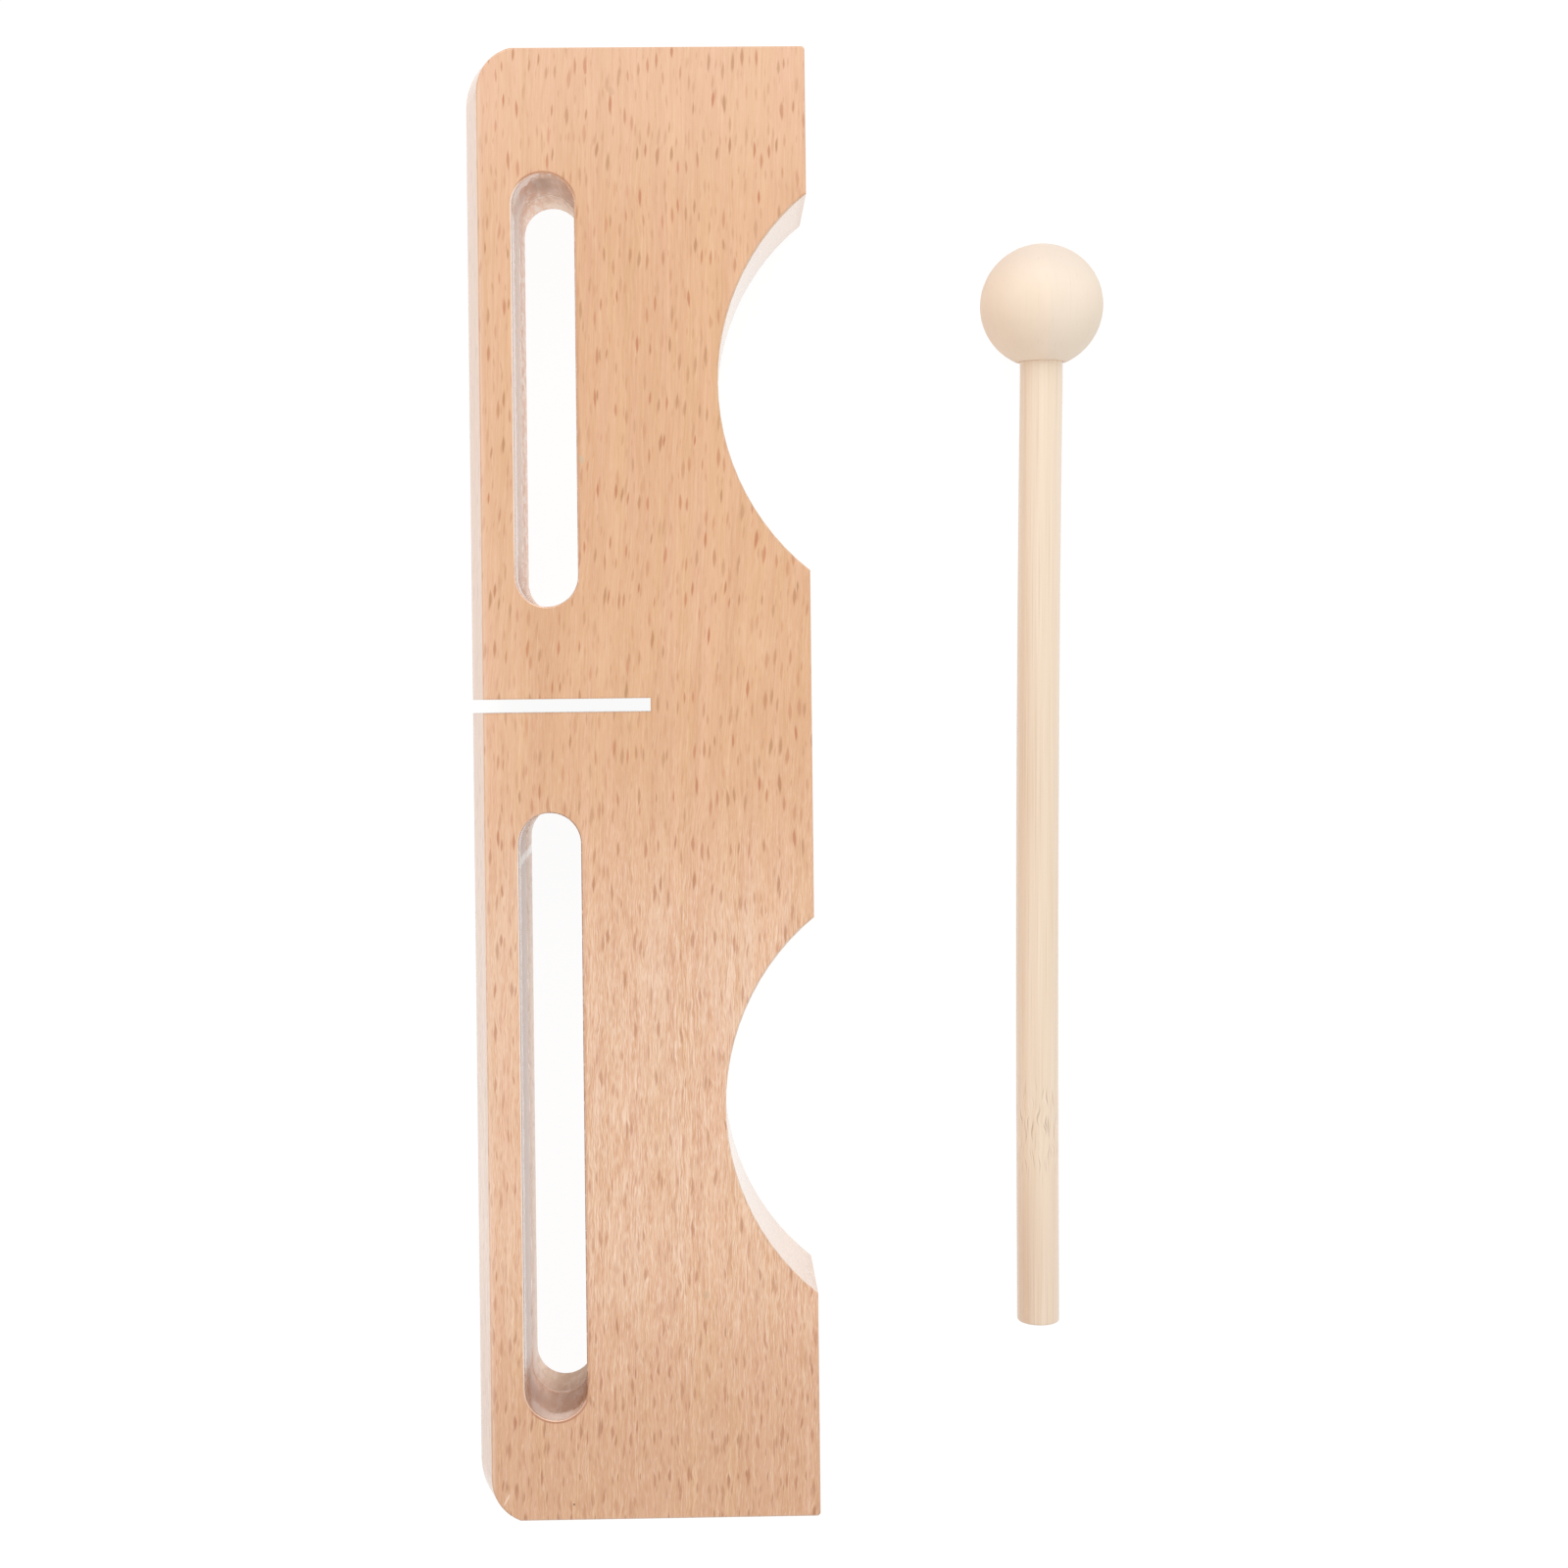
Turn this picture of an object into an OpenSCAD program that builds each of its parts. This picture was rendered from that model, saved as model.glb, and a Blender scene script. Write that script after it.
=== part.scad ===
// A hand percussion woodblock and its mallet, laid flat on a table.
// X runs from the strike side to the feet, Y along the block, and Z up from the table.
// The origin lies on the block's underside, at the middle of its length and width.

/* [Block] */
// Length of the block, along Y
block_len = 230; // [210:1:260]
// Width from the ridge of the strike side to the feet, along X
block_w = 54.1; // [50:0.1:64]
// Thickness of the block, along Z
block_t = 25; // [20:0.5:32]
// Radius of the slight easing on the long edges and on the cut-outs' edges
arris_r = 0.35; // [0.2:0.05:0.8]
// Bevel on the edges of the two end faces
end_bevel = 0.3; // [0.1:0.05:0.6]

/* [Strike side] */
// Lean of the moulded strike side from its ridge to each face, in degrees
strike_lean = 14.3; // [8:0.1:18]
// Radius of the ridge, which runs along the middle of the strike side
strike_ridge_r = 12; // [6:0.5:20]

/* [Outline corners] */
// Radius of the two rounded corners on the strike side, along the ridge
strike_corner_r = 9.6; // [8:0.1:13]
// How far the upper end face cuts into its corner's arc, seen on the faces
upper_corner_cut = 0.1; // [0.05:0.05:1]
// How far the lower end face cuts into its corner's arc, seen on the faces
lower_corner_cut = 0.35; // [0.05:0.05:1]
// Radius of the two end corners on the feet side
foot_corner_r = 0.6; // [0.4:0.1:3]

/* [Tone slots] */
// Width of both routed slots
slot_w = 9.4; // [7:0.1:12]
// Wood between the ridge of the strike side and the slots, the part that is struck
strike_bar = 8.25; // [7:0.05:11]
// Wood between the upper end face and the short slot
upper_end_wood = 19.9; // [16:0.1:26]
// Wood between the lower end face and the long slot
lower_end_wood = 15.8; // [14:0.1:24]
// Wood between the middle of the kerf and the short slot
short_root = 15.6; // [8:0.1:22]
// Wood between the middle of the kerf and the long slot
long_root = 16.9; // [8:0.1:24]
// Radius sanded on the slots' rims, on both faces
slot_rim_r = 0.3; // [0.2:0.05:0.8]
// Depth of the first router pass, from the upper face
first_pass_depth = 14.5; // [8:0.5:18]
// How much wider the first pass is, on each side
pass_step = 0.15; // [0.05:0.05:0.4]

/* [Saw kerf] */
// Width of the kerf between the two tongues
kerf_w = 2.1; // [1:0.1:3.5]
// Depth of the kerf, from the ridge of the strike side
kerf_depth = 28.9; // [23:0.1:32]
// Distance from the upper end face to the middle of the kerf
kerf_from_end = 102.7; // [92:0.1:115]

/* [Finger cut-outs] */
// Radius of both arcs cut out of the feet side
cutout_r = 37.8; // [34:0.2:44]
// Depth of both arcs, from the feet side
cutout_depth = 14.1; // [10:0.1:16]
// Distance from the upper end face to the middle of the upper arc
upper_cutout_from_end = 52.5; // [46:0.5:58]
// Distance from the lower end face to the middle of the lower arc
lower_cutout_from_end = 64.3; // [50:0.1:68]

/* [Mallet] */
// Diameter of the turned ball
ball_d = 20; // [16:0.5:28]
// Diameter of the bamboo stick
stick_d = 7; // [5:0.1:9]
// Length of the whole mallet
mallet_len = 177.4; // [140:0.2:210]
// Width of the ring-shaped flat that the drill leaves round the socket
flat_land = 0.6; // [0.3:0.1:1.5]
// Wood between the drill's point and the far side of the ball
ball_back_wood = 5; // [3:0.5:7]
// Gap for glue round the stick and behind its end
glue_gap = 0.05; // [0.02:0.01:0.1]
// Point angle of the drill, in degrees
drill_point = 118; // [90:1:140]
// Radius of the softened edge on the stick's tail end
tail_edge_r = 0.45; // [0.2:0.05:1]

/* [Mallet on the table] */
// Distance from the feet side to the middle of the ball, along X
mallet_off = 38.9; // [30:0.1:60]
// Distance from the block's middle to the middle of the ball, along Y
mallet_up = 76.6; // [50:0.2:90]
// Turn of the mallet about the ball, in degrees, its tail towards the block
mallet_yaw = 0.48; // [-3:0.01:3]

/* [Hidden] */
$fn = 96;

// A cut runs past the face that it leaves by this much
overrun = 2;

// The block's four sides
strike_x = -block_w / 2;
feet_x = block_w / 2;
upper_y = block_len / 2;
lower_y = -block_len / 2;

// How far the ridge would stand out further if it were sharp, and how far it stands out from the faces
mid_z = block_t / 2;
ridge_lost = strike_ridge_r / cos(strike_lean) - strike_ridge_r;
face_setback = mid_z * tan(strike_lean) - ridge_lost;

// The middles of the strike side's two corner arcs, which run out through the end faces
face_arc_r = strike_corner_r - face_setback;
corner_x = strike_x + strike_corner_r;
upper_corner_y = upper_y + upper_corner_cut - face_arc_r;
lower_corner_y = lower_y - lower_corner_cut + face_arc_r;

// The two slots share one middle line and one radius, which is that of the second router pass
slot_r = slot_w / 2;
slot_x = strike_x + strike_bar + slot_r;
kerf_y = upper_y - kerf_from_end;
short_slot_foot = kerf_y + short_root;
short_slot_top = upper_y - upper_end_wood;
long_slot_foot = lower_y + lower_end_wood;
long_slot_top = kerf_y - long_root;

// The middles of the two arcs, out beyond the feet side
cutout_x = feet_x - cutout_depth + cutout_r;
upper_cutout_y = upper_y - upper_cutout_from_end;
lower_cutout_y = lower_y + lower_cutout_from_end;

// Places along the mallet's own axis, from the middle of the ball towards the tail
ball_r = ball_d / 2;
stick_r = stick_d / 2;
socket_r = stick_r + glue_gap;
drill_tip = socket_r / tan(drill_point / 2);
flat_z = sqrt(pow(ball_r, 2) - pow(socket_r + flat_land, 2));
socket_floor_z = drill_tip + ball_back_wood - ball_r;
stick_head_z = socket_floor_z + glue_gap;
tail_z = mallet_len - ball_r;

// The mallet lies on its ball and on the lower edge of its tail, so its axis dips towards the tail
rest_run = tail_z - tail_edge_r;
rest_drop = stick_r - tail_edge_r;
mallet_dip = asin((ball_r - tail_edge_r) / norm([rest_run, rest_drop])) - atan2(rest_drop, rest_run);

// In a section, y is the height: what is drawn at the upper face, and its mirror image at the lower face
module both_faces() {
    translate([0, block_t]) children();
    mirror([0, 1]) children();
}

// A point at a distance from the origin, in a direction given in degrees
function ray(distance, direction) = distance * [cos(direction), sin(direction)];

// The waste outside a rounded edge whose arc has its middle at the origin and spans two directions
module arc_waste(r, from, to) {
    middle = (from + to) / 2;
    corner = r / cos(to - middle);
    difference() {
        polygon([[0, 0], ray(r + overrun, from), ray(corner + overrun, middle), ray(r + overrun, to)]);
        circle(r);
    }
}

// The waste outside one rounded square edge at the origin, where the wood has negative x and y
module edge_waste(r) {
    translate([-r, -r]) arc_waste(r, 0, 90);
}

// The wood behind the moulded strike side, which has its ridge at x = 0, back to a depth on its negative side
module strike_section(depth) {
    difference() {
        polygon([
            [-depth, 0],
            [-face_setback, 0],
            [ridge_lost, mid_z],
            [-face_setback, block_t],
            [-depth, block_t],
        ]);
        translate([-strike_ridge_r, mid_z]) arc_waste(strike_ridge_r, -strike_lean, strike_lean);
        both_faces()
            translate([-face_setback - arris_r * tan((90 - strike_lean) / 2), -arris_r])
                arc_waste(arris_r, strike_lean, 90);
    }
}

// The wood along its length, with bevelled ends
module long_section() {
    polygon([
        [lower_y, end_bevel],
        [lower_y + end_bevel, 0],
        [upper_y - end_bevel, 0],
        [upper_y, end_bevel],
        [upper_y, block_t - end_bevel],
        [upper_y - end_bevel, block_t],
        [lower_y + end_bevel, block_t],
        [lower_y, block_t - end_bevel],
    ]);
}

// The wood across its length, from the middles of the strike side's corners to the feet
module back_section() {
    difference() {
        translate([corner_x, 0]) square([feet_x - corner_x, block_t]);
        both_faces() translate([feet_x, 0]) edge_waste(arris_r);
    }
}

// The moulded wood from the middle of a corner at x = 0 out to the ridge
module nose_section() {
    intersection() {
        square([strike_corner_r, block_t]);
        translate([strike_corner_r, 0]) strike_section(strike_corner_r + overrun);
    }
}

// The strike side: the moulding runs along it and follows both of its corners round
module moulding() {
    translate([corner_x, upper_corner_y, 0]) {
        rotate([90, 0, 0]) linear_extrude(upper_corner_y - lower_corner_y) mirror([1, 0]) nose_section();
        rotate([0, 0, 90]) rotate_extrude(angle = 90) nose_section();
    }
    translate([corner_x, lower_corner_y, 0]) rotate([0, 0, 180]) rotate_extrude(angle = 90) nose_section();
}

// The planed and moulded bar, whose ends are trimmed flat through the moulding, before anything else is cut
module bar() {
    intersection() {
        union() {
            moulding();
            translate([0, upper_y, 0]) rotate([90, 0, 0]) linear_extrude(block_len) back_section();
        }
        translate([strike_x - overrun, 0, 0])
            rotate([90, 0, 90]) linear_extrude(block_w + 2 * overrun) long_section();
    }
}

// The waste outside a corner on the feet side, on the side of positive x and y, with an eased edge left
module foot_corner_waste() {
    difference() {
        translate([0, 0, -overrun])
            cube([foot_corner_r + overrun, foot_corner_r + overrun, block_t + 2 * overrun]);
        rotate_extrude() difference() {
            square([foot_corner_r, block_t]);
            both_faces() translate([foot_corner_r, 0]) edge_waste(arris_r);
        }
    }
}

// The waste outside both corners on the feet side
module foot_corners_waste() {
    feet_side = feet_x - foot_corner_r;
    translate([feet_side, upper_y - foot_corner_r, 0]) foot_corner_waste();
    translate([feet_side, lower_y + foot_corner_r, 0]) mirror([0, 1, 0]) foot_corner_waste();
}

// Half the section of a cut from the upper face, drawn at height zero, its rim rounded over
module cut_section(r, rim_r, depth) {
    difference() {
        union() {
            translate([0, -depth]) square([r, depth + overrun]);
            translate([0, -rim_r]) square([r + rim_r, rim_r + overrun]);
        }
        translate([r + rim_r, -rim_r]) circle(rim_r);
    }
}

// Half the section of a routed slot: a wider first pass from the upper face, then one right through
module slot_section() {
    translate([0, block_t]) cut_section(slot_r + pass_step, slot_rim_r, first_pass_depth);
    mirror([0, 1]) cut_section(slot_r, slot_rim_r, block_t);
}

// A routed slot with round ends, from the wall at its foot to the wall at its top
module slot(foot, top) {
    straight = top - foot - slot_w;
    translate([slot_x, foot + slot_r, 0]) {
        rotate([90, 0, 180]) linear_extrude(straight) {
            slot_section();
            mirror([1, 0]) slot_section();
        }
        rotate([0, 0, 180]) rotate_extrude(angle = 180) slot_section();
        translate([0, straight, 0]) rotate_extrude(angle = 180) slot_section();
    }
}

// The saw kerf that parts the two tongues
module kerf() {
    translate([strike_x - overrun, kerf_y - kerf_w / 2, -overrun])
        cube([kerf_depth + overrun, kerf_w, block_t + 2 * overrun]);
}

// One arc out of the feet side, with eased edges
module finger_cutout(middle_y) {
    translate([cutout_x, middle_y, 0])
        rotate_extrude() both_faces() cut_section(cutout_r, arris_r, block_t);
}

// The block: one solid piece of beech
module block() {
    color("burlywood") difference() {
        bar();
        foot_corners_waste();
        slot(short_slot_foot, short_slot_top);
        slot(long_slot_foot, long_slot_top);
        kerf();
        finger_cutout(upper_cutout_y);
        finger_cutout(lower_cutout_y);
    }
}

// Lays what is drawn round the mallet's own axis on the table: the ball's middle comes from the origin,
// and the tail from positive z
module lay_mallet() {
    translate([feet_x + mallet_off, mallet_up, ball_r])
        rotate([90 + mallet_dip, 0, -mallet_yaw])
            children();
}

// The turned ball, with a small flat and a blind socket for the stick
module mallet_head() {
    color("wheat") lay_mallet() difference() {
        sphere(ball_r);
        translate([-ball_r, -ball_r, flat_z]) cube(ball_d);
        translate([0, 0, socket_floor_z]) cylinder(h = ball_r - socket_floor_z, r = socket_r);
        translate([0, 0, socket_floor_z - drill_tip]) cylinder(h = drill_tip, r1 = 0, r2 = socket_r);
    }
}

// The bamboo stick, with a softened tail
module mallet_stick() {
    color("moccasin") lay_mallet() rotate_extrude() difference() {
        translate([0, stick_head_z]) square([stick_r, tail_z - stick_head_z]);
        translate([stick_r, tail_z]) edge_waste(tail_edge_r);
    }
}

block();
mallet_head();
mallet_stick();
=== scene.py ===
"""A beech woodblock with routed tone slots, and its mallet, laid flat on a pale table.

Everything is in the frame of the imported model: X from the strike edge to the feet, Y along the block
towards its short slot, Z up from the table. Sizes and materials are worked out in millimetres, and MM
turns them into metres. The studio at the end is in metres.
"""
import math

import bpy
from mathutils import Matrix, Vector, noise

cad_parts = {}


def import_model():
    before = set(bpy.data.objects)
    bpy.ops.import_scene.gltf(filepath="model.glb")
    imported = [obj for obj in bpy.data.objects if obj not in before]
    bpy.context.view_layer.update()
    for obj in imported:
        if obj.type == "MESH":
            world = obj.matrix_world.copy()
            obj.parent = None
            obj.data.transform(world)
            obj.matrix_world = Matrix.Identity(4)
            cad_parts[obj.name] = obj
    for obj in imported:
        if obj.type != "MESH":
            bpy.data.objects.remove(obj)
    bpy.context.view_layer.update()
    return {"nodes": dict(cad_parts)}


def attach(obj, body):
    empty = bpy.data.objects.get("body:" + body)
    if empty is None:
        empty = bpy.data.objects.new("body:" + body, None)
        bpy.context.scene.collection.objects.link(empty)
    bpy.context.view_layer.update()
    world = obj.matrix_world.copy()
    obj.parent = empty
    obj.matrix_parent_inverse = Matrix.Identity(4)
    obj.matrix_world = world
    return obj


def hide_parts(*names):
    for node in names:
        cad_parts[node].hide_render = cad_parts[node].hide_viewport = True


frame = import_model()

MM = 0.001

# The block
END_Y = 115
BLOCK_W = 54.1
BLOCK_T = 25
STRIKE_X = -BLOCK_W / 2
FEET_X = BLOCK_W / 2
STRIKE_BAR_W = 8.25
SLOT_R = 4.7
SLOT_X = STRIKE_X + STRIKE_BAR_W + SLOT_R
KERF_Y = 12.3
KERF_DEPTH = 28.9
KERF_END_X = STRIKE_X + KERF_DEPTH
KERF_SIDE = 1.05
SHORT_SLOT = (27.9, 95.1)
LONG_SLOT = (-99.2, -4.6)
FIRST_PASS_DEPTH = 14.5
PALE_SLANT_Y = -12.5

# The mallet, along its own axis from the middle of the ball towards the tail
BALL_R = 10
BALL_AT = Vector((65.95, 76.6, BALL_R))
SOCKET_R = 3.55
FLAT_LAND = 0.6
FLAT_R = SOCKET_R + FLAT_LAND
FLAT_AT = math.sqrt(BALL_R ** 2 - FLAT_R ** 2)
DRILL_HALF_ANGLE = math.radians(59)
DRILL_TIP = SOCKET_R / math.tan(DRILL_HALF_ANGLE)
BALL_BACK_WOOD = 5
SOCKET_FLOOR = DRILL_TIP + BALL_BACK_WOOD - BALL_R
STICK_R = 3.5
GLUE_GAP = 0.05
STICK_HEAD = SOCKET_FLOOR + GLUE_GAP
STICK_HEAD_EDGE = 0.1
TAIL = 167.4
TAIL_EDGE_R = 0.45
STICK_BOW = 0.38
SCAR_AT = 135
MALLET_YAW = math.radians(0.48)
REST_RUN = TAIL - TAIL_EDGE_R
REST_DROP = STICK_R - TAIL_EDGE_R
MALLET_DIP = (math.asin((BALL_R - TAIL_EDGE_R) / math.hypot(REST_RUN, REST_DROP))
              - math.atan2(REST_DROP, REST_RUN))
LAY_MALLET = (Matrix.Translation(BALL_AT) @ Matrix.Rotation(-MALLET_YAW, 4, "Z")
              @ Matrix.Rotation(math.pi / 2 + MALLET_DIP, 4, "X"))

# How finely the ball and the stick are turned
BALL_SIDES = 144
BALL_STEPS = 110
SOCKET_STEPS = 8
STICK_SIDES = 96
STICK_STEPS = 300
TAIL_STEPS = 8
SHARP_EDGE = math.radians(40)

# The light and the table
ROOM_LIGHT = 0.8
LAMP_AT = Vector((0.05, 0.85, 0.85))
LAMP_SIZE = 0.9
LAMP_POWER = 4.5
TABLE_REACH = 3
TABLE_DROP = 0.0001
TABLE_GLOW = 1.06
SHADOW_SHARE = 0.11

# The camera
IMAGE = 1600
FOCAL_PIXELS = 2328
SENSOR = 36
CAMERA_SHIFT = (0.025, -0.05)
CAMERA_AT = (0.010353, 0.012907, 0.381456)
CAMERA_TURNS = (-0.1373, -0.9992, -0.642)
CAMERA_NEAREST = 0.01


def paint(red, green, blue):
    """A colour as a screen shows it, from 0 to 255, made linear."""
    def linear(value):
        value /= 255
        return value / 12.92 if value <= 0.04045 else ((value + 0.055) / 1.055) ** 2.4
    return (linear(red), linear(green), linear(blue), 1)


def both_ways(operation):
    """An operator of Wire and its reflected form, so that 1 - mask works as mask - 1 does."""
    def forward(wire, other):
        return wire.nodes.maths(operation, wire, other)

    def reflected(wire, other):
        return wire.nodes.maths(operation, other, wire)

    return forward, reflected


class Wire:
    """What one socket of a material gives: a number, a colour or a vector."""

    __add__, __radd__ = both_ways("ADD")
    __sub__, __rsub__ = both_ways("SUBTRACT")
    __mul__, __rmul__ = both_ways("MULTIPLY")
    __truediv__, __rtruediv__ = both_ways("DIVIDE")

    def __init__(self, nodes, socket):
        self.nodes = nodes
        self.socket = socket

    def __abs__(self):
        return self.nodes.maths("ABSOLUTE", self)

    def at_least(self, other):
        return self.nodes.maths("MAXIMUM", self, other)

    def at_most(self, other):
        return self.nodes.maths("MINIMUM", self, other)

    def rise(self, low, high):
        """0 up to low, 1 from high on, smooth between them."""
        return self.nodes.add("ShaderNodeMapRange", {"interpolation_type": "SMOOTHSTEP"},
                              {"Value": self, "From Min": low, "From Max": high})

    def fall(self, low, high):
        """1 up to low, 0 from high on, smooth between them."""
        return 1 - self.rise(low, high)

    def output(self, name):
        """Another output of the same node."""
        return Wire(self.nodes, self.socket.node.outputs[name])


class Nodes:
    """The nodes of one material, or of the world."""

    def __init__(self, tree):
        self.tree = tree
        tree.nodes.clear()

    def add(self, kind, settings=None, values=(), output=0):
        """One node: its settings first, then the value or the link of each socket."""
        node = self.tree.nodes.new(kind)
        for name, value in (settings or {}).items():
            setattr(node, name, value)
        for name, value in values.items() if isinstance(values, dict) else enumerate(values):
            if isinstance(value, Wire):
                self.tree.links.new(value.socket, node.inputs[name])
            else:
                node.inputs[name].default_value = value
        return Wire(self, node.outputs[output]) if node.outputs else None

    def maths(self, operation, *terms):
        return self.add("ShaderNodeMath", {"operation": operation}, terms)

    def vector_maths(self, operation, *terms, output=0):
        return self.add("ShaderNodeVectorMath", {"operation": operation}, terms, output)

    def length(self, vector):
        return self.vector_maths("LENGTH", vector, output="Value")

    def vector(self, x, y, z):
        return self.add("ShaderNodeCombineXYZ", None, (x, y, z))

    def split(self, vector):
        x = self.add("ShaderNodeSeparateXYZ", None, (vector,))
        return x, x.output("Y"), x.output("Z")

    def mix(self, factor, first, second):
        """The first colour where the factor is 0, the second where it is 1."""
        settings = {"data_type": "RGBA", "clamp_factor": True}
        return self.add("ShaderNodeMix", settings, {0: factor, 6: first, 7: second}, 2)

    def cloud(self, place, size, seed, detail=2, roughness=0.5):
        """Soft noise about 0.5, with lumps about as large as size says along each axis."""
        return self.add("ShaderNodeTexNoise", {"noise_dimensions": "4D"}, {
            "Vector": self.vector_maths("DIVIDE", place, size), "W": seed, "Scale": 1,
            "Detail": detail, "Roughness": roughness})

    def two_tone(self, colour, pattern, pale, dark):
        """A pale hue where the pattern is high, then a dark one where it is low. Each is given by the
        range of the pattern in which it comes or goes, its share and its hue."""
        low, high, share, hue = pale
        colour = self.mix(pattern.rise(low, high) * share, colour, hue)
        low, high, share, hue = dark
        return self.mix(pattern.fall(low, high) * share, colour, hue)

    def flecks(self, place, width, length, gap, seed):
        """Lens-shaped marks in the plane of x and y, strewn a number of their own sizes apart: how
        strongly one shows, from 0 to 1, and a chance of its own for its hue."""
        cells = self.vector_maths("DIVIDE", place, (width * gap, length * gap, 1))
        cells = self.vector_maths("ADD", cells, (seed, seed, 0))
        distance = self.add("ShaderNodeTexVoronoi", {
            "voronoi_dimensions": "2D", "distance": "MINKOWSKI"}, {
            "Vector": cells, "Scale": 1, "Exponent": 1.5})
        size, strength, hue = self.split(distance.output("Color"))
        shape = (distance * (2 * gap) / (size * 0.6 + 0.7)).fall(0.45, 1.1)
        return shape * (strength * 0.75 + 0.25), hue

    def place_mm(self, matrix=None):
        """The place on the piece in millimetres, in the model's frame or in the one that the matrix
        lays into it."""
        place = self.add("ShaderNodeTexCoord", output="Object")
        place = self.vector_maths("DIVIDE", place, (MM, MM, MM))
        if matrix is None:
            return place
        back = matrix.inverted()
        return self.add("ShaderNodeMapping", {"vector_type": "POINT"}, {
            "Vector": place, "Location": back.to_translation(), "Rotation": back.to_euler("XYZ")})

    def finish(self, height, depth, sockets):
        """One surface shader over a bump, whose depth is in millimetres."""
        bump = self.add("ShaderNodeBump", None, {"Strength": 1, "Distance": depth * MM, "Height": height})
        surface = self.add("ShaderNodeBsdfPrincipled", None, {**sockets, "Normal": bump})
        self.add("ShaderNodeOutputMaterial", None, {"Surface": surface})


def new_material(name):
    material = bpy.data.materials.new(name)
    material.use_nodes = True
    return material, Nodes(material.node_tree)


def new_object(name, data):
    item = bpy.data.objects.new(name, data)
    bpy.context.scene.collection.objects.link(item)
    return item


# The beech

# How it grew
PITH_X = -6
PITH_Z = -130
RING_GAP = 4.2

# The stretches of the block in which its wood, its handling or its painted light and shade change, from
# where to where
CURLY = (-38, 8)
LOWER_END = (-106, -68)
LOWEST_TIP = (-99, -95)
UPPER_END = (82, 112)
UPPER_HALF = (0, 60)
SHORT_SIDE = (-10, 20)
DEEP_RAYS = (-25, 10)
END_FACES = (END_Y - 7, END_Y - 3)

# The ends of its rays: width, length, how many of their own sizes they lie apart, and a seed
LARGE_RAYS = (0.5, 3, 2.55, 3)
SMALL_RAYS = (0.33, 2, 3, 11)

# The fine threads: length, share where the grain curls, and a seed
THREADS = ((1.4, 0.55, 7), (5.5, 0.6, 9))

# The finished faces
BANDS = (paint(220, 166, 121), paint(232, 181, 136))
LATE_WOOD = paint(208, 153, 110)
STRIKE_BAR_WOOD = paint(234, 188, 156)
# Paler at the upper end: partly the wood, partly painted light from the lamp past that end
UPPER_END_WOOD_AND_LIGHT = paint(237, 190, 155)
# Darker and browner at the lower end: partly the wood, partly painted shade where the lamp's light falls
# off
LOWER_END_WOOD_AND_SHADE = paint(208, 156, 116)
# Paler where the grain curls: partly the wood, partly painted sheen
CURLY_WOOD_AND_SHEEN = paint(242, 198, 166)
CURLY_SHEEN = paint(252, 218, 192)
ROSY_TINT = paint(236, 180, 150)
TAWNY_TINT = paint(224, 178, 124)
PALE_FIBRE = paint(245, 203, 165)
DARK_FIBRE = paint(206, 149, 106)
PALE_THREAD = paint(252, 220, 194)
DARK_THREAD = paint(200, 141, 102)
RAY_HUES = (paint(200, 124, 80), paint(188, 138, 90))
DEEP_RAY = paint(172, 106, 72)
SMALL_RAY_HUES = (paint(198, 136, 92), paint(178, 122, 82))
# A pale band along the strike edge, partly wear and partly a painted reflection of the white surroundings
WORN_EDGE_AND_REFLECTION = paint(244, 212, 190)
# Painted light on the cut-outs' arcs
PAINTED_LIGHT_ARC = paint(252, 224, 198)
END_GRAIN = paint(196, 144, 106)
# Painted shade along the rims' edge
RIM_PAINTED_SHADE = paint(178, 112, 76)
# Painted highlight on the left rims
RIM_HIGHLIGHT = paint(255, 248, 242)
SCORCHED = paint(176, 126, 92)

# The slots' walls, in pairs for the long slot and the short one, above and below the router's step, with
# painted light and shade in them
RIGHT_UPPER = (paint(182, 130, 92), paint(228, 190, 162))
RIGHT_LOWER = (paint(198, 160, 126), paint(246, 218, 194))
LEFT_UPPER = (paint(246, 206, 180), paint(234, 186, 156))
LEFT_LOWER = (paint(252, 224, 202), paint(250, 212, 186))
# The pale band below the rims, painted light
FROSTING_AND_LIGHT = (paint(244, 212, 190), paint(252, 232, 220))
PALE_STREAK = paint(255, 246, 238)
DARK_STREAK = paint(186, 146, 118)
# Painted shade on the short slot's end walls
PAINTED_SHADE_PATCH = paint(176, 132, 100)
BURNT = paint(206, 166, 144)
# A painted highlight on the router's step
STEP_HIGHLIGHT = paint(255, 244, 234)

# Marks of use on the upper face: x, y, turn in degrees, half length, half width, share and hue
WORN_MARKS = {
    "scratch": (-21.97, -111.64, 28.6, 1.1, 0.17, 0.75, paint(250, 216, 186)),
    "pit": (-11.48, -112.5, 0, 0.2, 0.17, 0.85, paint(104, 66, 52)),
    "smudge beside the short slot": (-8.5, 50.7, -15, 0.75, 0.4, 0.6, paint(200, 182, 152)),
    "smudge at the upper end": (-3.24, 108.1, -30, 0.8, 0.5, 0.45, paint(206, 160, 122)),
    "smudge by the lower arc": (9.53, -80.1, 0, 0.7, 0.5, 0.4, paint(194, 164, 130)),
}


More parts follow.
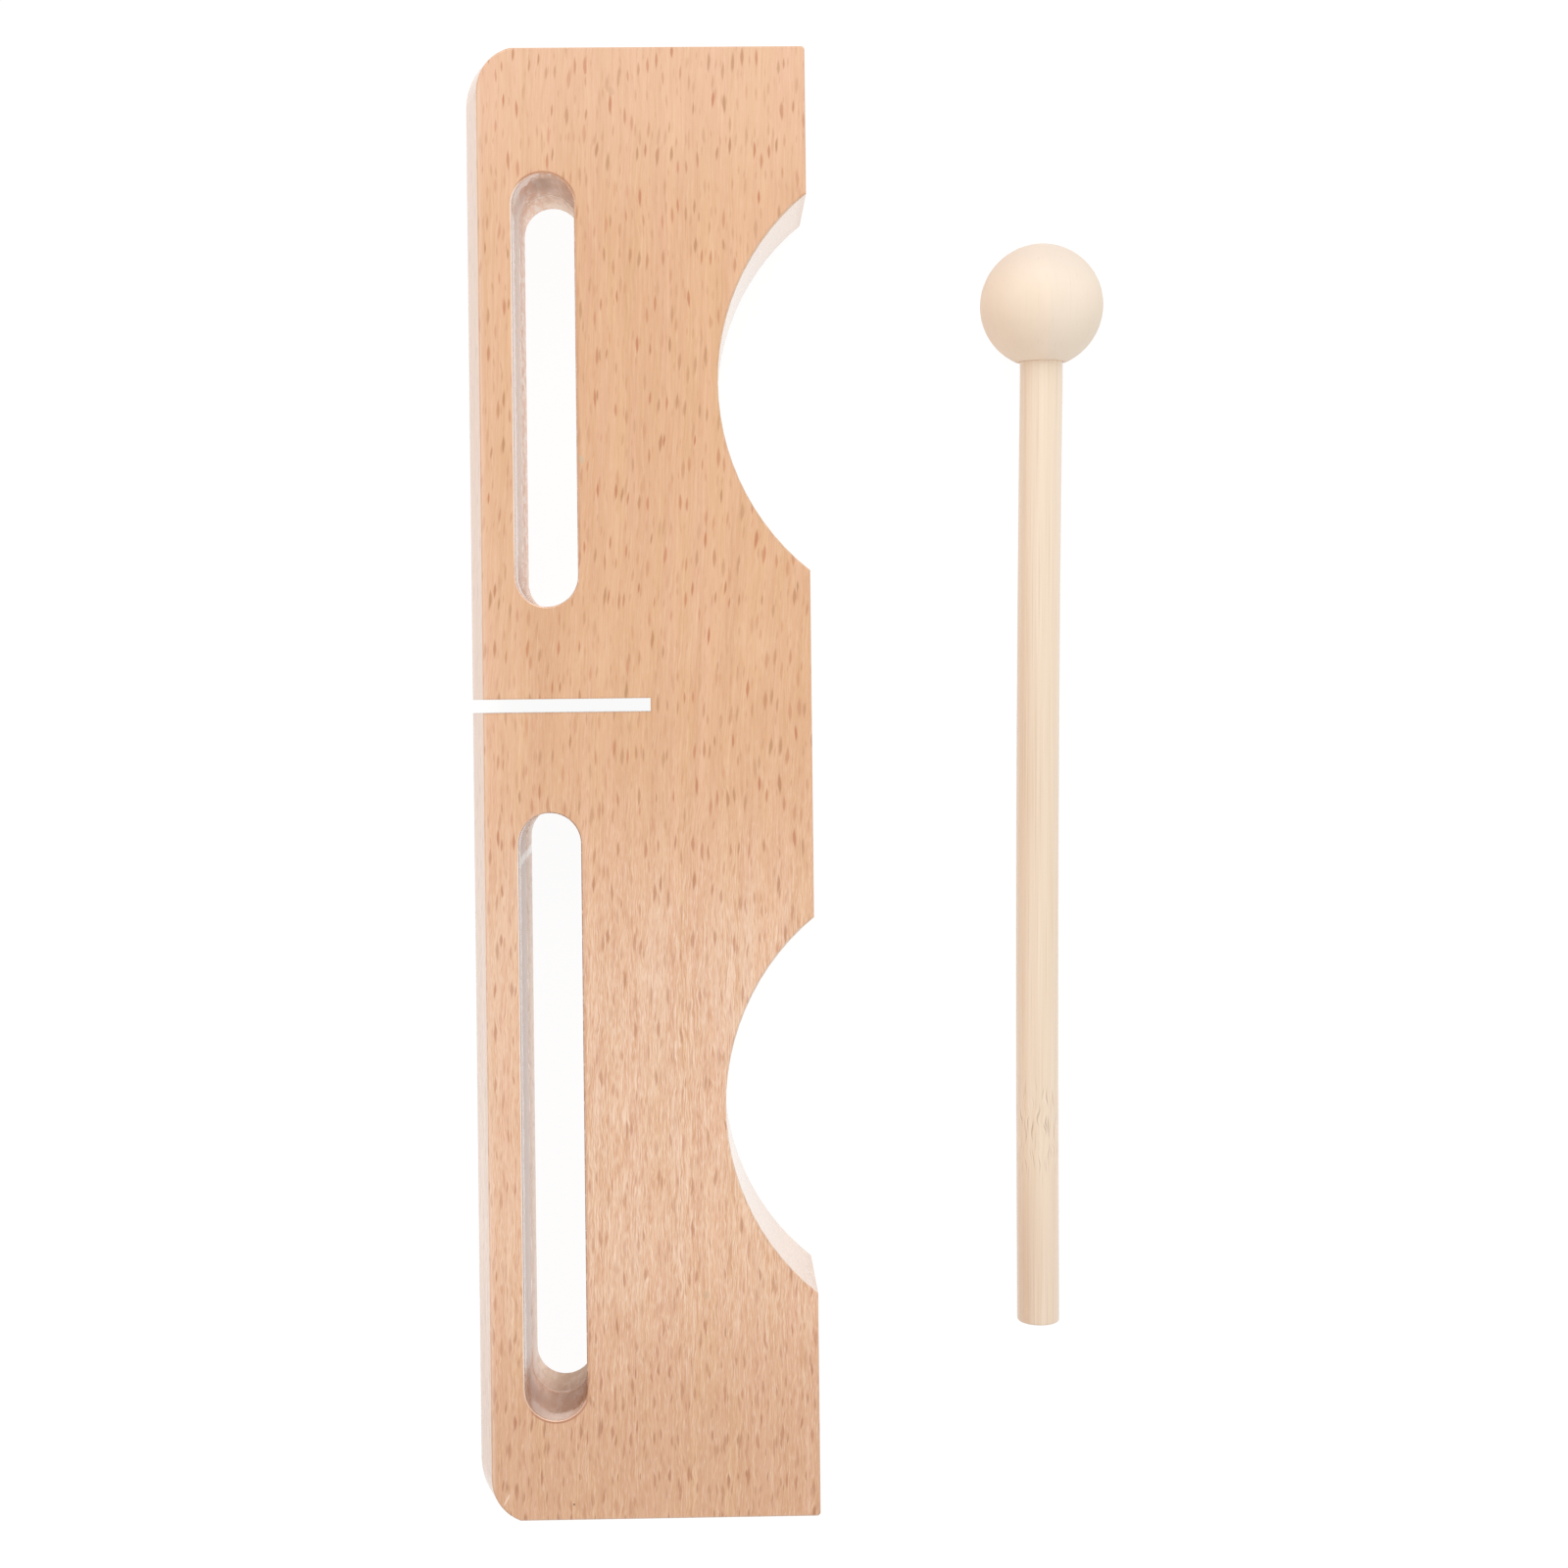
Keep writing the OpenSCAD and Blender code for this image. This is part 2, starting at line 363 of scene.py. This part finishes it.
class Where:
    """Where a point of the block lies and which way it faces, as numbers and as masks from 0 to 1."""

    def __init__(self, nodes):
        self.place = nodes.place_mm()
        self.x, self.y, z = nodes.split(self.place)
        self.depth = BLOCK_T - z
        self.grain = grain_place(nodes, self.place)

        # The faces
        facing = nodes.add("ShaderNodeTexCoord", output="Normal")
        face_x, face_y, face_z = nodes.split(facing)
        self.strike = face_x.fall(-0.9, -0.3)
        self.flat = abs(face_z)
        self.upper_face = face_z.rise(0.9, 0.99)
        self.by_ends = abs(self.y).rise(*END_FACES)
        self.end = abs(face_y).rise(0.55, 0.98) * self.by_ends

        # The wood
        self.low_end = self.y.fall(*LOWER_END)
        self.curl = self.y.fall(*CURLY) * (1 - self.low_end * 0.7)

        # The slots
        from_short, short_ends = slot_distance(nodes, self, SHORT_SLOT)
        from_long, long_ends = slot_distance(nodes, self, LONG_SLOT)
        self.near = from_short.at_most(from_long)
        self.slot_ends = short_ends + long_ends
        self.wall = self.near.fall(0.2, 0.4)
        self.aside = self.x - SLOT_X
        self.left = self.aside.fall(-4.3, 1)
        self.short = self.y.rise(*SHORT_SIDE)
        self.above_step = self.depth.fall(FIRST_PASS_DEPTH - 3, FIRST_PASS_DEPTH + 7)
        self.step = abs(self.depth - FIRST_PASS_DEPTH).fall(0.1, 0.5)


def grain_place(nodes, place):
    """The place as the tree has it: round its rings, up its trunk, and out from its pith. The grain
    leans, wanders, and hooks where it is curly."""
    x, y, z = nodes.split(place)
    from_pith_x = x - PITH_X
    from_pith_z = z - PITH_Z
    radius = nodes.length(nodes.vector(from_pith_x, 0, from_pith_z))
    turn = nodes.maths("ARCTAN2", from_pith_x, from_pith_z)
    lean = y * 0.02 + y.rise(0, 64) * 1.8
    wander = nodes.cloud(place, (40, 60, 40), 0, detail=1) * 1.6
    wander = wander + nodes.cloud(place, (5, 11, 5), 13, detail=1) * 1.1
    hooks = nodes.cloud(place, (1.1, 2.2, 1.1), 14, detail=1) * (y.fall(*CURLY) * 0.3 + 0.3)
    return nodes.vector(turn * (BLOCK_T - PITH_Z) - lean + wander + hooks, y, radius)


def slot_distance(nodes, at, ends):
    """How far a place is outside a slot's wall, in plan, and 1 beside the slot's round ends."""
    low, high = ends
    reach = (high - low) / 2 - SLOT_R
    over = (abs(at.y - (low + high) / 2) - reach).at_least(0)
    distance = nodes.length(nodes.vector(at.x - SLOT_X, over, 0)) - SLOT_R
    return distance, over.rise(0.5, 2.5) * distance.fall(2, 3)


def ground(nodes, at):
    """Broad bands and growth rings, paler along the strike bar, and paler at the upper end, partly
    painted light from the lamp past that end.
    """
    bands = nodes.cloud(at.grain, (3, 60, 6), 1, detail=3, roughness=0.6)
    colour = nodes.mix(bands.rise(0.3, 0.7), *BANDS)
    _, _, radius = nodes.split(at.grain)
    late = nodes.maths("FRACT", radius / RING_GAP).rise(0.55, 1)
    colour = nodes.mix(late * (at.end * 0.3 + 0.15), colour, LATE_WOOD)
    colour = nodes.mix(at.x.fall(-24, -13) * 0.3, colour, STRIKE_BAR_WOOD)
    # Paler towards the upper end, partly painted light from the lamp past that end
    return nodes.mix(at.y.rise(*UPPER_END) * 0.6, colour, UPPER_END_WOOD_AND_LIGHT)


def curl_and_tint(nodes, at, colour):
    """A curlier and paler stretch below the middle, partly the curly wood and partly painted sheen, a
    darker and browner lower end, partly the wood's tone and partly painted shade where the lamp's light
    falls off, and slow changes of hue."""
    # Paler where the grain curls, partly the curly wood and partly painted sheen
    colour = nodes.mix(at.curl * 0.5, colour, CURLY_WOOD_AND_SHEEN)
    sheen = nodes.cloud(at.grain, (2.5, 45, 5), 12, detail=3, roughness=0.6)
    # Pale streaks of painted sheen along the curly grain
    colour = nodes.mix(at.curl * sheen.rise(0.48, 0.66) * 0.5, colour, CURLY_SHEEN)
    # Darker and browner at the lower end, partly the wood's tone and partly painted shade where the
    # lamp's light falls off
    colour = nodes.mix(at.low_end * 0.8, colour, LOWER_END_WOOD_AND_SHADE)
    tint = nodes.cloud(at.grain, (2, 35, 5), 15)
    return nodes.two_tone(colour, tint, (0.48, 0.68, 0.25, ROSY_TINT), (0.32, 0.52, 0.25, TAWNY_TINT))


def fibres_and_threads(nodes, at, colour):
    """Long fibres everywhere, and fine threads mostly where the grain curls: the colour, and the
    pattern of the long fibres."""
    fibres = nodes.cloud(at.grain, (0.3, 8, 0.8), 2, detail=3, roughness=0.6)
    colour = nodes.two_tone(colour, fibres, (0.45, 0.75, 0.45, PALE_FIBRE), (0.25, 0.5, 0.4, DARK_FIBRE))
    calm = 0.15 - at.y.rise(*UPPER_HALF) * 0.08
    off_strike_bar = 1 - at.x.fall(-20, -14) * 0.5
    for length, share, seed in THREADS:
        threads = nodes.cloud(at.grain, (0.11, length, 0.8), seed)
        lively = at.curl * share * off_strike_bar
        colour = nodes.two_tone(colour, threads, (0.5, 0.68, lively + calm, PALE_THREAD),
                                (0.32, 0.5, lively * 0.65 + calm, DARK_THREAD))
    return colour, fibres


def ray_ends(nodes, at, colour):
    """The ends of the rays, large and small: the colour, and how strongly the large ones show."""
    large, hue = nodes.flecks(at.grain, *LARGE_RAYS)
    large = large * (at.flat * 0.5 + 0.5)
    small, _ = nodes.flecks(at.grain, *SMALL_RAYS)
    large_hue = nodes.mix(hue, *RAY_HUES)
    large_hue = nodes.mix(at.y.fall(*DEEP_RAYS) * 0.6, large_hue, DEEP_RAY)
    colour = nodes.mix(large * (1 - at.curl * 0.35), colour, large_hue)
    small_hue = nodes.mix(at.low_end, *SMALL_RAY_HUES)
    return nodes.mix(small * (0.45 + at.low_end * 0.4), colour, small_hue), large


def planed_wood(nodes, at):
    """The finished faces: their colour, and the height of their grain."""
    colour = ground(nodes, at)
    colour = curl_and_tint(nodes, at, colour)
    colour, fibres = fibres_and_threads(nodes, at, colour)
    colour, large_rays = ray_ends(nodes, at, colour)
    grooves = nodes.cloud(at.grain, (0.12, 2.2, 0.3), 6)
    return colour, fibres * 0.5 - large_rays * 0.6 + grooves * 0.5


def worn_marks_and_edge_reflection(nodes, at, colour):
    """A scratch, a pit and three faint smudges on the upper face, and a pale band along the strike edge,
    partly wear and partly painted reflection.
    """
    for at_x, at_y, turn, length, width, share, hue in WORN_MARKS.values():
        cosine = math.cos(math.radians(turn))
        sine = math.sin(math.radians(turn))
        across = ((at.x - at_x) * cosine - (at.y - at_y) * sine) / width
        along = ((at.x - at_x) * sine + (at.y - at_y) * cosine) / length
        spot = (across * across + along * along).fall(0.4, 1.2)
        colour = nodes.mix(spot * at.upper_face * share, colour, hue)
    # A pale band along the strike edge, partly wear and partly a painted reflection of the white
    # surroundings
    worn_and_reflection = (at.x - STRIKE_X).fall(2.9, 3.7) * at.flat.rise(0.9, 0.99)
    return nodes.mix(worn_and_reflection * 0.4, colour, WORN_EDGE_AND_REFLECTION)


def arcs_and_ends(nodes, at, colour):
    """The cut-outs' arcs and their arrises are painted paler, a painted reflection of the white table
    that also lifts their shade, less at the lower foot, and the end grain drinks more of the finish.
    """
    from_feet = at.x - FEET_X
    inside = from_feet.rise(-15, -14.3) * from_feet.fall(-1.5, -0.2)
    # Painted light on the cut-outs' arcs and arrises, weaker at the lower foot
    lit_arcs = inside * at.flat.fall(0.5, 0.95) * (1 - at.by_ends)
    colour = nodes.mix(lit_arcs * (0.6 - at.y.fall(-80, -60) * 0.35), colour, PAINTED_LIGHT_ARC)
    return nodes.mix(at.end * 0.55, colour, END_GRAIN)


def wall_ground(nodes, at):
    """The slots' walls, painted light and shade over the routed wood's colour: browner and darker above
    the router's step on the right, and paler below it, in the short slot and on the left."""
    # Painted shade above the step on the right, painted light below it, on the left and in the short slot
    right = nodes.mix(at.above_step, nodes.mix(at.short, *RIGHT_LOWER), nodes.mix(at.short, *RIGHT_UPPER))
    left = nodes.mix(at.above_step, nodes.mix(at.short, *LEFT_LOWER), nodes.mix(at.short, *LEFT_UPPER))
    return nodes.mix(at.left * 0.9, right, left)


def frosted_and_lit_band(nodes, at):
    """1 on the pale band under the rim, painted as lit wood up to the opposite rim's shadow; it reaches
    deeper on the left and at the lowest tip.
    """
    frost = nodes.cloud(at.place, (1.2, 1.2, 2.5), 8, roughness=0.6)
    tip = at.y.fall(*LOWEST_TIP)
    reach = at.left * (at.short * 1.5 + 4 - tip * 3) + tip * 4.2
    reach = reach + (frost - 0.5) * (8 - tip * 3) - 0.7
    return ((at.depth - reach) / (1 + tip)).fall(-0.6, 0.6)


def routed_wood(nodes, at):
    """The slots' walls: their colour, with painted light and shade, and 1 on the pale band under the rim
    that is painted as lit.
    """
    colour = wall_ground(nodes, at)
    streaks = nodes.cloud(at.place, (1, 1.3, 4), 4, detail=3, roughness=0.6)
    pale_share = (at.left * 0.5 + 0.1) * at.short + 0.15
    colour = nodes.two_tone(colour, streaks, (0.48, 0.6, pale_share, PALE_STREAK),
                            (0.36, 0.5, 0.25, DARK_STREAK))
    # Painted shade on the short slot's end walls, from about 2 to 15 mm below the rim
    shade_patch = abs(at.aside + 0.6).fall(0.5, 2.6) * at.depth.fall(8, 15) * at.depth.rise(1.5, 4)
    colour = nodes.mix(shade_patch * at.short * 0.6, colour, PAINTED_SHADE_PATCH)
    frosted_and_lit = frosted_and_lit_band(nodes, at)
    # Painted light: the band below the rim is painted as lit, up to the opposite rim's shadow
    colour = nodes.mix(frosted_and_lit * 0.85, colour, nodes.mix(at.short, *FROSTING_AND_LIGHT))
    burnt = at.left * at.depth.rise(4, 7) * at.depth.fall(9, 13)
    colour = nodes.mix(burnt * (streaks * 0.6 + 0.2), colour, BURNT)

    # A pale streak runs slantwise down the long slot's left wall
    pale_slant = abs(at.y - PALE_SLANT_Y - at.depth * 0.05).fall(0.4, 0.9) * at.left
    colour = nodes.mix(pale_slant, colour, PALE_STREAK)
    # Painted highlight on the ledge of the router's step
    colour = nodes.mix(at.step * (at.short * 0.3 + 0.55), colour, STEP_HIGHLIGHT)
    return colour, frosted_and_lit.at_least(pale_slant * 0.8)


def rims_and_kerf(nodes, at, colour):
    """A dark line round the slots' rims, painted shade over their highlight, a painted highlight on the
    left rims, and the kerf's scorched arrises.
    """
    off_kerf = abs(at.y - KERF_Y)
    away_from_kerf = off_kerf.rise(17, 26)
    left_rim = at.aside.fall(-4.9, -3)
    # Painted shade: a dark line at the rims' edge, stronger at the slots' ends, that dulls their
    # highlight
    dark = at.near.rise(0.25, 0.38) * at.near.fall(0.5, 0.75) * (at.slot_ends * 0.5 + 0.25)
    colour = nodes.mix(dark * (1 - left_rim) * away_from_kerf, colour, RIM_PAINTED_SHADE)
    # Painted highlight on the left rims, away from the kerf and the lowest tip
    rim_highlight = at.near.rise(0.02, 0.1) * at.near.fall(0.3, 0.45) * left_rim * away_from_kerf
    colour = nodes.mix(rim_highlight * at.y.rise(-98, -90) * 0.75, colour, RIM_HIGHLIGHT)
    scorch = (off_kerf - KERF_SIDE).fall(0, 0.35) * at.x.fall(KERF_END_X, KERF_END_X + 0.4)
    return nodes.mix(scorch * 0.35, colour, SCORCHED)


def beech():
    """Planed beech under a thin satin finish. The router burnished the slots' walls: their cut fibres
    shine in the wood's own colour, which is what the metallic share is for."""
    material, nodes = new_material("beech_satin")
    at = Where(nodes)
    colour, height = planed_wood(nodes, at)
    colour = worn_marks_and_edge_reflection(nodes, at, colour)
    colour = arcs_and_ends(nodes, at, colour)
    routed, frosted_and_lit = routed_wood(nodes, at)
    colour = nodes.mix(at.wall, colour, routed)
    colour = rims_and_kerf(nodes, at, colour)

    shine = 0.6 + (at.short + at.left).at_most(1) * 0.3 - at.above_step * (1 - at.left) * 0.25
    left_long_wall = at.aside.fall(-4.3, -3) * (1 - at.short)
    bare = at.wall * (0.8 - frosted_and_lit * 0.5 - left_long_wall * 0.15)
    nodes.finish(height * (at.flat * 0.95 + 0.05), 0.03, {
        "Base Color": colour,
        "Roughness": 0.42 + at.wall * 0.1 + at.end * 0.15 - at.wall * at.step * at.flat * 0.35,
        "Metallic": at.wall * shine,
        "Coat Weight": 1 - at.strike * 0.15 - bare,
        "Coat Roughness": 0.15})
    return material


# The ball

BALL_WOOD = (paint(252, 233, 212), paint(248, 227, 204))
BALL_OTHER_HALF = paint(243, 228, 209)
# Painted shade on the ball's half away from the stick
BALL_PAINTED_SHADE = paint(226, 208, 194)
BALL_FIBRE = paint(232, 206, 180)
BALL_SPECK = paint(222, 190, 160)
BALL_SPECKS = (0.3, 0.8, 5, 5)


def turned_wood():
    """Pale turned wood, a little duller on one half, with painted shade on the half away from the stick
    that dulls its highlight.
    """
    material, nodes = new_material("pale_turned_wood")
    place = nodes.place_mm(LAY_MALLET)
    x, _, along = nodes.split(place)
    soft = nodes.cloud(place, (7, 9, 12), 1)
    colour = nodes.mix(soft.rise(0.3, 0.7), *BALL_WOOD)
    other_half = (x + nodes.cloud(place, (4, 4, 9), 3, detail=1) * 1.2).rise(0.2, 1.2)
    colour = nodes.mix(other_half * 0.55, colour, BALL_OTHER_HALF)
    # Painted shade on the half away from the stick, which dulls its highlight
    colour = nodes.mix(along.fall(-9, -1) * 0.6, colour, BALL_PAINTED_SHADE)
    fibres = nodes.cloud(place, (0.35, 1, 6), 2, detail=3, roughness=0.6)
    colour = nodes.mix(fibres.fall(0.3, 0.5) * 0.12, colour, BALL_FIBRE)
    specks, _ = nodes.flecks(place, *BALL_SPECKS)
    colour = nodes.mix(specks * 0.15, colour, BALL_SPECK)
    nodes.finish(fibres, 0.003, {
        "Base Color": colour,
        "Roughness": 0.6 + fibres * 0.1,
        "Coat Weight": 0.4,
        "Coat Roughness": 0.6})
    return material


# The stick

CANE = (paint(239, 215, 188), paint(245, 223, 199))
CANE_BY_BALL = paint(252, 232, 208)
CANE_TAIL = paint(226, 198, 176)
CANE_TAIL_SIDE = paint(204, 172, 144)
PALE_BUNDLE = paint(255, 238, 218)
DARK_BUNDLE = paint(212, 180, 148)
DASH = paint(172, 136, 106)
# A painted highlight beside each dash of the scar
DASH_HIGHLIGHT = paint(255, 240, 222)
DASH_HIGHLIGHT_GAP = 0.2
CUT_BUNDLES = (0.2, 3.6, 2, 2)


def cane_colour(nodes, x, along, strand):
    """The cane's broad streaks, paler by the ball and browner at the tail."""
    broad = nodes.cloud(strand, (1, 1, 60), 1)
    colour = nodes.mix(broad.rise(0.3, 0.7), *CANE)
    colour = nodes.mix(along.fall(10, 90) * 0.4, colour, CANE_BY_BALL)
    tail = along.rise(135, 160)
    colour = nodes.mix(tail * 0.35, colour, CANE_TAIL)
    return nodes.mix(tail * x.fall(-1.2, -0.6) * 0.2, colour, CANE_TAIL_SIDE)


def bamboo():
    """Bamboo with fine, close fibre bundles, which swirl round the scar of a node that was planed off."""
    material, nodes = new_material("bamboo_stick")
    place = nodes.place_mm(LAY_MALLET)
    x, up, along = nodes.split(place)
    turn = nodes.maths("ARCTAN2", up, x) * STICK_R
    near_scar = abs(along - SCAR_AT).fall(3, 10)
    swirl = nodes.cloud(nodes.vector(turn, 0, along), (2, 1, 5), 5, detail=1) - 0.5
    turn = turn + swirl * near_scar * 2.4
    strand = nodes.vector(turn, 0, along)
    colour = cane_colour(nodes, x, along, strand)

    lines = nodes.cloud(strand, (0.15, 1, 30), 2)
    colour = nodes.mix(lines.fall(0.3, 0.47) * 0.45, colour, DARK_BUNDLE)
    colour = nodes.mix(lines.rise(0.55, 0.7) * 0.5, colour, PALE_BUNDLE)

    # The cut bundles of the scar show as dark dashes, each with a painted highlight beside it
    dash_highlights, _ = nodes.flecks(nodes.vector(turn - DASH_HIGHLIGHT_GAP, along, 0), *CUT_BUNDLES)
    colour = nodes.mix(dash_highlights * near_scar * 0.6, colour, DASH_HIGHLIGHT)
    dashes, _ = nodes.flecks(nodes.vector(turn, along, 0), *CUT_BUNDLES)
    colour = nodes.mix(dashes * near_scar * 0.85, colour, DASH)
    nodes.finish(lines - dashes * near_scar, 0.012, {
        "Base Color": colour,
        "Roughness": 0.45 + lines * 0.1,
        "Coat Weight": 0.8,
        "Coat Roughness": 0.2})
    return material


# Turning

def ring_points(profile, sides, relief):
    """A ring of points for each (radius, along) of the profile between its two poles."""
    points = []
    for radius, along in profile[1:-1]:
        for step in range(sides):
            angle = 2 * math.pi * step / sides
            out = radius + relief(angle, along, radius)
            points.append(Vector((out * math.cos(angle), out * math.sin(angle), along)))
    return points


def ring_faces(rings, sides):
    """The faces between each ring and the next."""
    faces = []
    for here in range(0, (rings - 1) * sides, sides):
        there = here + sides
        for step in range(sides):
            after = (step + 1) % sides
            faces.append((here + step, here + after, there + after, there + step))
    return faces


def pole_faces(pole, ring, sides, flip):
    """The fan of faces from a pole to the ring beside it."""
    faces = []
    for step in range(sides):
        side = (ring + step, ring + (step + 1) % sides)
        faces.append((pole, *(reversed(side) if flip else side)))
    return faces


def revolve(name, profile, sides, relief, bow=None):
    """A closed turned piece of the mallet: the profile is (radius, along) from one pole to the other."""
    points = ring_points(profile, sides, relief)
    rings = len(profile) - 2
    first_pole = len(points)
    points += [Vector((0, 0, along)) for _, along in (profile[0], profile[-1])]
    if bow:
        points = [point + Vector((bow(point.z), 0, 0)) for point in points]
    faces = ring_faces(rings, sides)
    faces += pole_faces(first_pole, 0, sides, True)
    faces += pole_faces(first_pole + 1, (rings - 1) * sides, sides, False)
    mesh = bpy.data.meshes.new(name)
    mesh.from_pydata([(LAY_MALLET @ point) * MM for point in points], [], faces)
    mesh.validate()
    mesh.shade_smooth()
    mesh.set_sharp_from_angle(angle=SHARP_EDGE)
    return new_object(name, mesh)


def arc(middle, radius, start, end, steps):
    """Points (radius, along) on an arc, its angles in degrees from the mallet's radial direction."""
    points = []
    for step in range(steps + 1):
        angle = math.radians(start + (end - start) * step / steps)
        points.append((middle[0] + radius * math.cos(angle), middle[1] + radius * math.sin(angle)))
    return points


def ball_relief(angle, along, radius):
    """The lathe's faint rings on the ball, at most 0.02 mm, and none in the socket."""
    if radius < FLAT_R or along > FLAT_AT - 0.01:
        return 0
    return noise.noise(Vector((0, 0, along * 1.4))) * 0.02 - 0.02


def turned_ball():
    flat_angle = math.degrees(math.asin(FLAT_AT / BALL_R))
    profile = arc((0, 0), BALL_R, -90, flat_angle, BALL_STEPS)
    profile[0] = (0, -BALL_R)
    profile += [(SOCKET_R + FLAT_LAND * 0.5, FLAT_AT), (SOCKET_R, FLAT_AT)]
    depth = FLAT_AT - SOCKET_FLOOR
    profile += [(SOCKET_R, FLAT_AT - depth * step / SOCKET_STEPS) for step in range(1, SOCKET_STEPS + 1)]
    profile += [(SOCKET_R * 0.5, SOCKET_FLOOR - DRILL_TIP * 0.5), (0, SOCKET_FLOOR - DRILL_TIP)]
    return revolve("turned_ball", profile, BALL_SIDES, ball_relief)


def stick_relief(angle, along, radius):
    """The stick's fibres, at most 0.02 mm, and the knots of its scar, at most 0.07 mm."""
    if radius < STICK_R - 0.05:
        return 0
    round_it = Vector((math.cos(angle), math.sin(angle), 0))
    fibre = noise.noise(round_it * 9 + Vector((0, 0, along * 0.02))) * 0.02
    scar = math.exp(-((along - SCAR_AT) / 4) ** 2)
    knot = noise.noise(round_it * 5 + Vector((3, 0, along * 0.25))) * 0.07 * scar
    return (fibre + knot - 0.02) * min(1, max(0, along - FLAT_AT))


def stick_bow(along):
    """How far the stick bows aside outside the ball. Both its ends stay where they are."""
    share = max(0, min(1, (along - FLAT_AT) / (TAIL - FLAT_AT)))
    return -STICK_BOW * math.sin(math.pi * share) * min(1, share * 12)


def bamboo_stick():
    side_foot = STICK_HEAD + STICK_HEAD_EDGE
    side = TAIL - TAIL_EDGE_R - side_foot
    profile = [(0, STICK_HEAD), (STICK_R - STICK_HEAD_EDGE, STICK_HEAD), (STICK_R, side_foot)]
    profile += [(STICK_R, side_foot + side * step / STICK_STEPS) for step in range(1, STICK_STEPS + 1)]
    profile += arc((STICK_R - TAIL_EDGE_R, TAIL - TAIL_EDGE_R), TAIL_EDGE_R, 0, 90, TAIL_STEPS)[1:]
    profile += [(STICK_R * 0.5, TAIL), (0, TAIL)]
    return revolve("bamboo_stick", profile, STICK_SIDES, stick_relief, stick_bow)


# The studio

def seen_rays(nodes):
    """1 for the rays that show white: the camera's, and those in a reflection or through something."""
    path = nodes.add("ShaderNodeLightPath", output="Is Camera Ray")
    return (path + path.output("Is Glossy Ray") + path.output("Is Transmission Ray")).at_most(1)


def world():
    """White where it is seen, and soft light all round the object."""
    sky = bpy.data.worlds.new("studio")
    bpy.context.scene.world = sky
    sky.use_nodes = True
    nodes = Nodes(sky.node_tree)
    strength = seen_rays(nodes) * (1 - ROOM_LIGHT) + ROOM_LIGHT
    background = nodes.add("ShaderNodeBackground", None, {"Color": (1, 1, 1, 1), "Strength": strength})
    nodes.add("ShaderNodeOutputWorld", None, {"Surface": background})


def table():
    """A pale table that shows white, with a faint shadow left under the object."""
    mesh = bpy.data.meshes.new("table")
    corners = [(-TABLE_REACH, -TABLE_REACH, 0), (TABLE_REACH, -TABLE_REACH, 0),
               (TABLE_REACH, TABLE_REACH, 0), (-TABLE_REACH, TABLE_REACH, 0)]
    mesh.from_pydata(corners, [], [(0, 1, 2, 3)])
    floor = new_object("table", mesh)
    floor.location.z = -TABLE_DROP
    material, nodes = new_material("pale_table")
    paper = nodes.add("ShaderNodeBsdfDiffuse", None, {"Color": (0.9, 0.9, 0.9, 1)})
    glow = nodes.add("ShaderNodeEmission", None, {"Color": (1, 1, 1, 1), "Strength": TABLE_GLOW})
    glow_share = seen_rays(nodes) * (1 - SHADOW_SHARE)
    surface = nodes.add("ShaderNodeMixShader", None, {0: glow_share, 1: paper, 2: glow})
    nodes.add("ShaderNodeOutputMaterial", None, {"Surface": surface})
    mesh.materials.append(material)


def softbox():
    """One round soft lamp past the block's upper end, aimed at the middle of its underside."""
    light = bpy.data.lights.new("key", "AREA")
    light.shape = "DISK"
    light.size = LAMP_SIZE
    light.energy = LAMP_POWER
    lamp = new_object("key", light)
    lamp.location = LAMP_AT
    lamp.rotation_euler = (-LAMP_AT).to_track_quat("-Z", "Y").to_euler()


def camera():
    """The photograph's view, nearly straight down on the table."""
    data = bpy.data.cameras.new("camera")
    eye = new_object("camera", data)
    data.sensor_width = SENSOR
    data.lens = SENSOR * FOCAL_PIXELS / IMAGE
    data.shift_x, data.shift_y = CAMERA_SHIFT
    data.clip_start = CAMERA_NEAREST
    eye.location = CAMERA_AT
    eye.rotation_euler = [math.radians(turn) for turn in CAMERA_TURNS]
    bpy.context.scene.camera = eye


def dress():
    """The block keeps its own mesh. The ball and the stick stand for their solids."""
    block = frame["nodes"]["block"]
    block.material_slots[0].material = beech()
    ball = turned_ball()
    ball.data.materials.append(turned_wood())
    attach(ball, "mallet")
    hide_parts("mallet_head")
    stick = bamboo_stick()
    stick.data.materials.append(bamboo())
    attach(stick, "mallet")
    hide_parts("mallet_stick")


camera()
world()
table()
softbox()
dress()
bpy.context.scene.view_settings.view_transform = "Standard"
